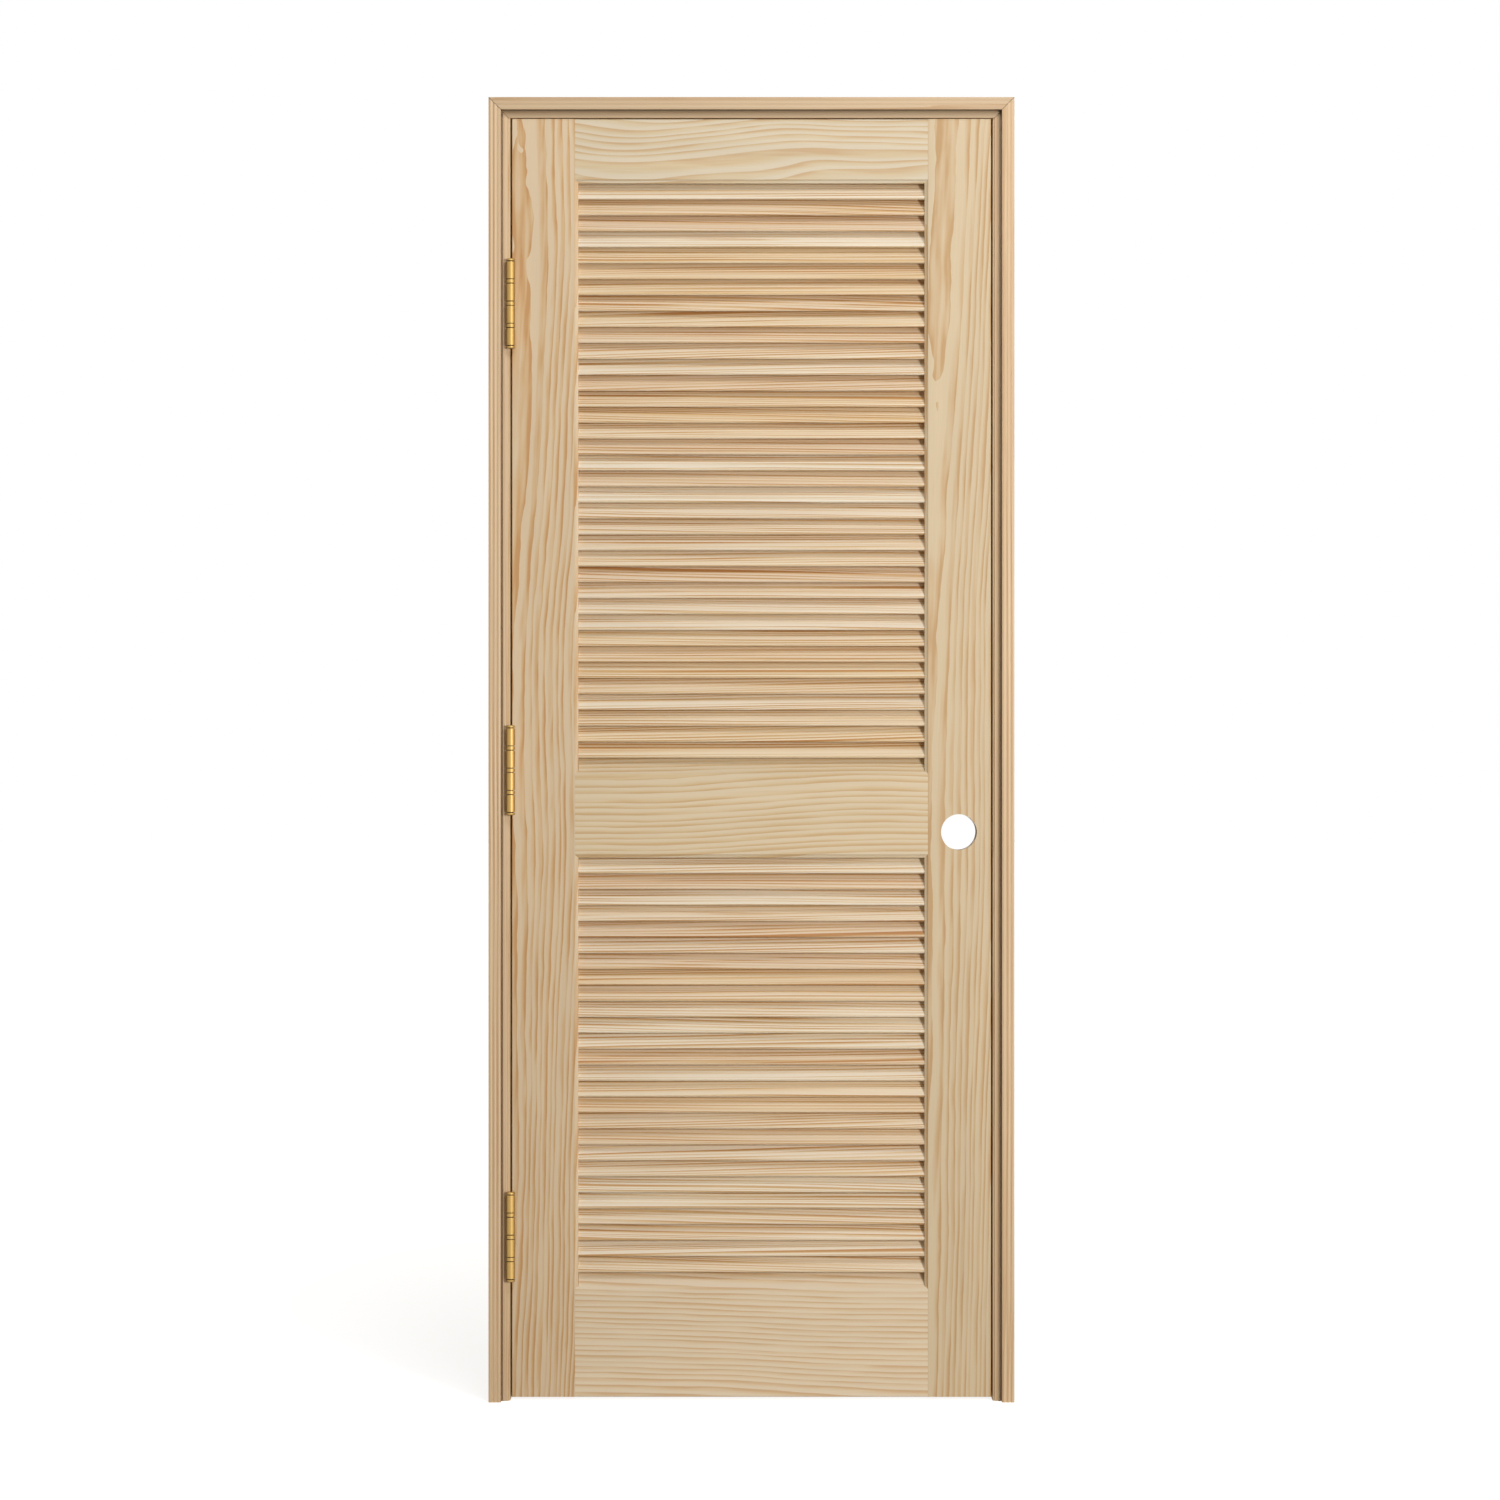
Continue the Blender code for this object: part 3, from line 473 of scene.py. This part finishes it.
leaf_low, leaf_high = (Vector(corner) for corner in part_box("top_hinge_jamb_leaf"))
BARREL_RADIUS = hinge_axis("top").y - leaf_low.y
BARREL_HALF = (leaf_high.z - leaf_low.z) / 2
TIP_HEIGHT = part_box("top_hinge_pin")[1][2] - leaf_high.z - HINGE_GAP
TIP_SHOULDER = 0.8 * TIP_HEIGHT
TIP_SHOULDER_INSET = 0.0004
TIP_END_INSET = 0.0012
LEAF_NEAR = 0.0085
LEAF_FACE = 0.00125
LEAF_THICKNESS = 0.0024
BEARING_HEIGHT = 0.0068
KNUCKLE_LENGTH = (BARREL_HALF - 1.5 * BEARING_HEIGHT) / 2
INNER_JOINT = BEARING_HEIGHT / 2
MIDDLE_JOINT = INNER_JOINT + KNUCKLE_LENGTH
OUTER_JOINT = MIDDLE_JOINT + BEARING_HEIGHT
JAMB_KNUCKLES = (
    (MIDDLE_JOINT, BARREL_HALF, (OUTER_JOINT,)),
    (-OUTER_JOINT, INNER_JOINT, (-INNER_JOINT, -MIDDLE_JOINT)),
)
DOOR_KNUCKLES = ((INNER_JOINT, MIDDLE_JOINT, ()), (-BARREL_HALF, -OUTER_JOINT, ()))
TURNED_STEPS = 48
# A face that lies at least this far below the barrel's skin is the floor of a groove
GROOVE_FLOOR = 0.9 * JOINT_DEPTH
# Real polishing lines are far finer, so they are drawn coarse enough to show in a close view
LINE_SPACING = 0.0004
LINE_REACH = 1 / 60
LINE_TONES = (0.94, 1.04)
DULLNESS_SPREAD = 0.1
LACQUER_ROUGHNESS = 0.3


def brass_finish(name, tint, dullest, lacquer):
    """Brass with faint turning lines: a soft golden reflection, and a paler one off the lacquer."""
    material = bpy.data.materials.new(name)
    material.use_nodes = True
    tree = material.node_tree
    shader = tree.nodes["Principled BSDF"]
    shader.inputs["Metallic"].default_value = 1.0
    shader.inputs["Coat Weight"].default_value = lacquer
    shader.inputs["Coat Roughness"].default_value = LACQUER_ROUGHNESS
    place = add(tree, "ShaderNodeTexCoord").outputs["Object"]
    size = (1 / LINE_REACH, 1 / LINE_REACH, 1 / LINE_SPACING)
    lines = add(tree, "ShaderNodeMapping", Vector=place, Scale=size).outputs[0]
    noise = add(tree, "ShaderNodeTexNoise", Vector=lines, Scale=1.0, Detail=2.0).outputs["Fac"]
    dull = add(
        tree, "ShaderNodeMapRange", Value=noise, To_Min=dullest - DULLNESS_SPREAD, To_Max=dullest
    ).outputs[0]
    worn = add(
        tree, "ShaderNodeMapRange", Value=noise, To_Min=LINE_TONES[0], To_Max=LINE_TONES[1]
    ).outputs[0]
    colour = add(
        tree, "ShaderNodeVectorMath", {"operation": "SCALE"}, _0=linear(tint)[:3], Scale=worn
    ).outputs[0]
    tree.links.new(colour, shader.inputs["Base Color"])
    tree.links.new(dull, shader.inputs["Roughness"])
    return material


brass = brass_finish("polished_brass", "#B49353", 0.58, 0.45)
tarnish = brass_finish("tarnished_brass", "#4A3618", 0.60, 0.0)


def darken_joints(shape, axis):
    """Gives the pin's shank and the floors of the grooves the dark tarnish of a hinge joint."""
    for face in shape.faces:
        reach = max((corner.co - axis).xy.length for corner in face.verts)
        face.material_index = 1 if reach < BARREL_RADIUS - GROOVE_FLOOR else 0


def turned(shape, profile, axis):
    """Spins a profile of (radius, height) points round an upright axis."""
    points = [shape.verts.new(axis + Vector((radius, 0.0, height))) for radius, height in profile]
    edges = [shape.edges.new(pair) for pair in zip(points, points[1:])]
    bmesh.ops.spin(
        shape, geom=points + edges, cent=axis, axis=(0.0, 0.0, 1.0), angle=2 * pi,
        steps=TURNED_STEPS, use_merge=True, use_duplicate=False,
    )


def leaf(node, axis, side, knuckles):
    """One leaf about its pin, on the jamb (side = -1) or on the door (side = 1)."""
    shape = joined_copy(node)
    cut_away(shape, axis + Vector((0.0, LEAF_NEAR, 0.0)), (0.0, -1.0, 0.0))
    rim = BARREL_RADIUS - JOINT_DEPTH
    inside = BARREL_RADIUS / 2
    for low, high, grooves in knuckles:
        low = low + JOINT_WIDTH / 2
        high = high - JOINT_WIDTH / 2
        outer = BARREL_RADIUS - EDGE_ROUND
        profile = [(inside, high), (outer, high), (BARREL_RADIUS, high - EDGE_ROUND)]
        for groove in sorted(grooves, reverse=True):
            profile.append((BARREL_RADIUS, groove + JOINT_WIDTH / 2))
            profile.append((rim, groove + JOINT_WIDTH / 2))
            profile.append((rim, groove - JOINT_WIDTH / 2))
            profile.append((BARREL_RADIUS, groove - JOINT_WIDTH / 2))
        profile += [(BARREL_RADIUS, low + EDGE_ROUND), (outer, low), (inside, low)]
        turned(shape, profile + profile[:1], axis)
        tooth_middle = axis + Vector((
            side * (LEAF_FACE + LEAF_THICKNESS / 2), (LEAF_NEAR + inside) / 2, (low + high) / 2
        ))
        tooth_size = (LEAF_THICKNESS, LEAF_NEAR - inside, high - low - 2 * JOINT_WIDTH, 1.0)
        bmesh.ops.create_cube(
            shape, size=1.0, matrix=Matrix.Translation(tooth_middle) @ Matrix.Diagonal(tooth_size)
        )
    bmesh.ops.remove_doubles(shape, verts=shape.verts, dist=MERGE_DISTANCE)
    bmesh.ops.recalc_face_normals(shape, faces=shape.faces)
    darken_joints(shape, axis)
    return shape


def pin(axis):
    """The pin's head and tip, which stand over the ends of the barrel."""
    shape = bmesh.new()
    top = BARREL_HALF + HINGE_GAP
    half_profile = [
        (0.0, top + TIP_HEIGHT),
        (BARREL_RADIUS - TIP_END_INSET, top + TIP_HEIGHT),
        (BARREL_RADIUS - TIP_SHOULDER_INSET, top + TIP_SHOULDER),
        (BARREL_RADIUS, top + TIP_HEIGHT / 2),
        (BARREL_RADIUS, top + JOINT_WIDTH / 2),
        (BARREL_RADIUS - JOINT_DEPTH, top + JOINT_WIDTH / 2),
        (BARREL_RADIUS - JOINT_DEPTH, top),
        (BARREL_RADIUS / 2 - HINGE_GAP, top),
    ]
    lower_half = [(radius, -height) for radius, height in reversed(half_profile)]
    turned(shape, half_profile + lower_half, axis)
    bmesh.ops.remove_doubles(shape, verts=shape.verts, dist=MERGE_DISTANCE)
    bmesh.ops.recalc_face_normals(shape, faces=shape.faces)
    darken_joints(shape, axis)
    return shape


for level in ("top", "middle", "bottom"):
    hinge = level + "_hinge_"
    axis = hinge_axis(level)
    for side, body, knuckles in (("jamb", "frame", JAMB_KNUCKLES), ("door", "door", DOOR_KNUCKLES)):
        node = hinge + side + "_leaf"
        shape = leaf(node, axis, -1 if side == "jamb" else 1, knuckles)
        plate = keep(hinge + side + "_plate", shape, brass, body, "polished_brass", node)
        plate.data.materials.append(tarnish)
    tips = keep(hinge + "pin_and_tips", pin(axis), brass, "frame", "polished_brass", hinge + "pin")
    tips.data.materials.append(tarnish)


# Hinge screws: countersunk brass wood screws with a cross recess, four in each leaf, driven until
# the head lies just under the leaf's face. The threads are hidden in the wood, so they are left off

SCREW_HEAD_RADIUS = 0.0042
SCREW_NECK_RADIUS = 0.0022
SCREW_HEAD_DEPTH = 0.0020
SCREW_SUNK = 0.0002
CROSS_HALF_WIDTH = 0.0005
CROSS_REACH = 0.0021
CROSS_DEPTH = 0.0011
SCREW_HEIGHTS = (-0.05092, -0.01876, 0.01876, 0.05092)
SCREW_BACK = (0.0175, 0.0295, 0.0175, 0.0295)
# Radians for each metre of height, so that the crosses stand at different angles
SCREW_TURN = 40.0
FACE_DOWN = -0.99


def screw_head(shape, place):
    """A screw head that lies face down at the origin, cut with its cross and moved to its place."""
    head = bmesh.new()
    bmesh.ops.create_cone(
        head, cap_ends=True, segments=32, radius1=SCREW_HEAD_RADIUS, radius2=SCREW_NECK_RADIUS,
        depth=SCREW_HEAD_DEPTH, matrix=Matrix.Translation((0.0, 0.0, SCREW_HEAD_DEPTH / 2)),
    )
    for way in (Vector((1.0, 0.0, 0.0)), Vector((0.0, 1.0, 0.0))):
        for reach in (-CROSS_REACH, -CROSS_HALF_WIDTH, CROSS_HALF_WIDTH, CROSS_REACH):
            faces = [face for face in head.faces if face.normal.z < FACE_DOWN]
            edges = {edge for face in faces for edge in face.edges}
            corners = {corner for face in faces for corner in face.verts}
            bmesh.ops.bisect_plane(
                head, geom=faces + list(edges) + list(corners), dist=MERGE_DISTANCE,
                plane_co=reach * way, plane_no=way,
            )
            head.normal_update()
    cross = []
    for face in head.faces:
        middle = face.calc_center_median()
        near, far = sorted((abs(middle.x), abs(middle.y)))
        if face.normal.z < FACE_DOWN and near < CROSS_HALF_WIDTH and far < CROSS_REACH:
            cross.append(face)
    cross_edges = {edge for face in cross for edge in face.edges}
    sunk = bmesh.ops.extrude_face_region(head, geom=cross + list(cross_edges))["geom"]
    floor_corners = [corner for corner in sunk if isinstance(corner, bmesh.types.BMVert)]
    bmesh.ops.translate(head, verts=floor_corners, vec=(0.0, 0.0, CROSS_DEPTH))
    for face in {face for corner in floor_corners for face in corner.link_faces}:
        face.material_index = 1
    bmesh.ops.recalc_face_normals(head, faces=head.faces)
    bmesh.ops.transform(head, matrix=place, verts=head.verts)
    finished = bpy.data.meshes.new("screw_head")
    head.to_mesh(finished)
    head.free()
    shape.from_mesh(finished)
    bpy.data.meshes.remove(finished)


for level in ("top", "middle", "bottom"):
    axis = hinge_axis(level)
    for side, body, out in (("jamb", "frame", 1), ("door", "door", -1)):
        screws = bmesh.new()
        for height, back in zip(SCREW_HEIGHTS, SCREW_BACK):
            spot = axis + Vector((-out * (LEAF_FACE + SCREW_SUNK), back, height))
            place = Matrix.Translation(spot) @ Matrix.Rotation(-out * pi / 2, 4, "Y")
            screw_head(screws, place @ Matrix.Rotation(height * SCREW_TURN, 4, "Z"))
        screw_name = level + "_hinge_" + side + "_screws"
        heads = keep(screw_name, screws, brass, body, "polished_brass")
        heads.data.materials.append(tarnish)


# Floor, light and camera: a white floor and backdrop, a soft key from the front and above, a
# level fill from the right and a dim, warm surround that looks white to the camera

FLOOR_HALF = 30.0
GLOW_NEAR = 0.6
GLOW_FAR = 2.4
GLOW_LEAST = 0.84


def seen(tree):
    """1 for rays that show the background: camera, glossy and transmission rays."""
    path = add(tree, "ShaderNodeLightPath")
    glossy = add(
        tree, "ShaderNodeMath", {"operation": "MAXIMUM"},
        _0=path.outputs["Is Camera Ray"], _1=path.outputs["Is Glossy Ray"],
    ).outputs[0]
    return add(
        tree, "ShaderNodeMath", {"operation": "MAXIMUM"},
        _0=glossy, _1=path.outputs["Is Transmission Ray"],
    ).outputs[0]


floor_shape = bmesh.new()
bmesh.ops.create_grid(floor_shape, x_segments=1, y_segments=1, size=FLOOR_HALF)
floor_mesh = bpy.data.meshes.new("floor")
floor_shape.to_mesh(floor_mesh)
floor_shape.free()
floor = bpy.data.objects.new("floor", floor_mesh)
bpy.context.collection.objects.link(floor)
floor_paint = bpy.data.materials.new("white_floor")
floor_paint.use_nodes = True
tree = floor_paint.node_tree
shader = tree.nodes["Principled BSDF"]
shader.inputs["Base Color"].default_value = linear("#C8C8C8")
shader.inputs["Roughness"].default_value = 1.0
shader.inputs["Specular IOR Level"].default_value = 0.0
shader.inputs["Emission Color"].default_value = linear("#FFFFFF")
place = add(tree, "ShaderNodeTexCoord").outputs["Object"]
reach = add(tree, "ShaderNodeVectorMath", {"operation": "LENGTH"}, _0=place).outputs["Value"]
glow = add(
    tree, "ShaderNodeMapRange",
    Value=reach, From_Min=GLOW_NEAR, From_Max=GLOW_FAR, To_Min=GLOW_LEAST, To_Max=1.0,
).outputs[0]
lift = add(tree, "ShaderNodeMath", {"operation": "MULTIPLY"}, _0=seen(tree), _1=glow).outputs[0]
tree.links.new(lift, shader.inputs["Emission Strength"])
floor_mesh.materials.append(floor_paint)

world = bpy.data.worlds.new("white_surround")
world.use_nodes = True
bpy.context.scene.world = world
tree = world.node_tree
surround = add(tree, "ShaderNodeValToRGB", Fac=seen(tree))
surround.color_ramp.elements[0].color = linear("#6E6A5E")
surround.color_ramp.elements[1].color = linear("#FFFFFF")
tree.links.new(surround.outputs[0], tree.nodes["Background"].inputs["Color"])

CAMERA_HEIGHT = 1.0346
CAMERA_LEFT = 0.0023
CAMERA_DISTANCE = 5.0
FIELD_AT_DOOR = 2.385
KEY_RIGHT = 0.35
KEY_BEFORE = 2.0
KEY_ABOVE = 1.7
FILL_ROUND = radians(29)
FILL_DISTANCE = 5.5
FILL_RISE = 0.07


def lamp(name, size, energy, colour, target, offset):
    """A round soft lamp, set off from what it shines at."""
    data = bpy.data.lights.new(name, "AREA")
    data.shape = "DISK"
    data.size = size
    data.energy = energy
    data.color = colour
    light = bpy.data.objects.new(name, data)
    light.location = target + offset
    light.rotation_euler = (target - light.location).to_track_quat("-Z", "Y").to_euler()
    bpy.context.collection.objects.link(light)


slab_low, slab_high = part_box("lock_stile")
centre = Vector((0.0, slab_low[1], CAMERA_HEIGHT))
top_edge = Vector((0.0, slab_low[1], slab_high[2]))
lamp(
    "key", size=1.1, energy=30.0, colour=(0.97, 1.0, 1.06), target=top_edge,
    offset=Vector((KEY_RIGHT, -KEY_BEFORE, KEY_ABOVE)),
)
lamp(
    "fill", size=0.9, energy=168.0, colour=(1.04, 1.0, 0.95), target=centre,
    offset=FILL_DISTANCE * Vector((sin(FILL_ROUND), -cos(FILL_ROUND), FILL_RISE)),
)

camera_data = bpy.data.cameras.new("camera")
camera_data.sensor_width = 36.0
camera_data.lens = camera_data.sensor_width * CAMERA_DISTANCE / FIELD_AT_DOOR
camera = bpy.data.objects.new("camera", camera_data)
camera.location = centre + Vector((-CAMERA_LEFT, -CAMERA_DISTANCE, 0.0))
camera.rotation_euler = (radians(90), 0.0, 0.0)
bpy.context.collection.objects.link(camera)
bpy.context.scene.camera = camera
bpy.context.scene.view_settings.view_transform = "Standard"
